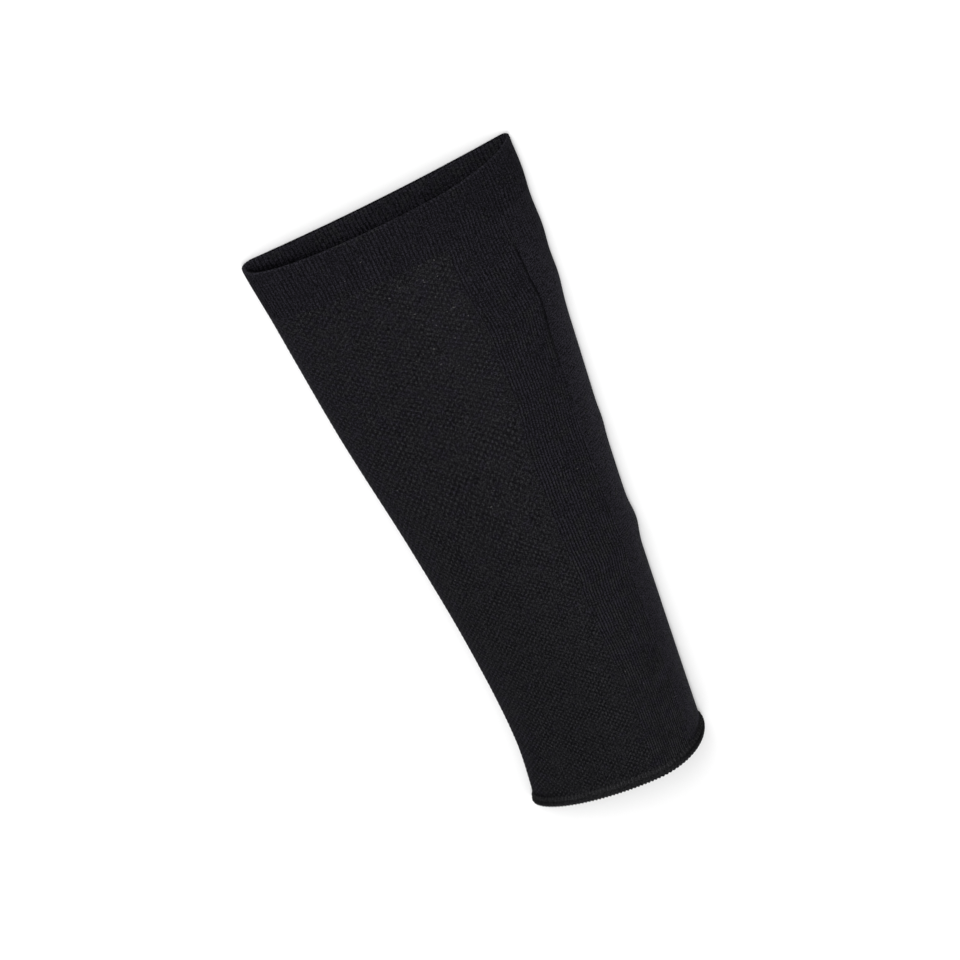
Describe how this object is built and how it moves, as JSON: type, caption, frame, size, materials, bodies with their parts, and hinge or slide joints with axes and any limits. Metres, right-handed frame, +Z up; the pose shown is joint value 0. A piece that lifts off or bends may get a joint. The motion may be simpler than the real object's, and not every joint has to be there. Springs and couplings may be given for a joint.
{
  "type": "calf compression sleeve",
  "caption": "Tapered seamless knit calf sleeve, open at both ends, with a ribbed top band and a rolled, overlocked ankle hem, lying empty on its back.",
  "frame": {"origin": "on the surface that the sleeve lies on, under the middle of its bounding box", "axes": "+Z up; +Y along the leg towards the calf end; +X towards the calf side, so the shin side is at -X"},
  "size_m": [0.1387, 0.3476, 0.036],
  "materials": {
    "band_knit": "matt charcoal-black ribbed elastic knit",
    "leg_knit": "matt charcoal-black elastic knit, piqué at the shin, ribbed at the side and plain at the calf",
    "hem_thread": "charcoal-black textured overlock thread over knit"
  },
  "bodies": {
    "root": {"top_band": "band_knit", "leg_tube": "leg_knit", "ankle_hem": "hem_thread"}
  },
  "joints": []
}
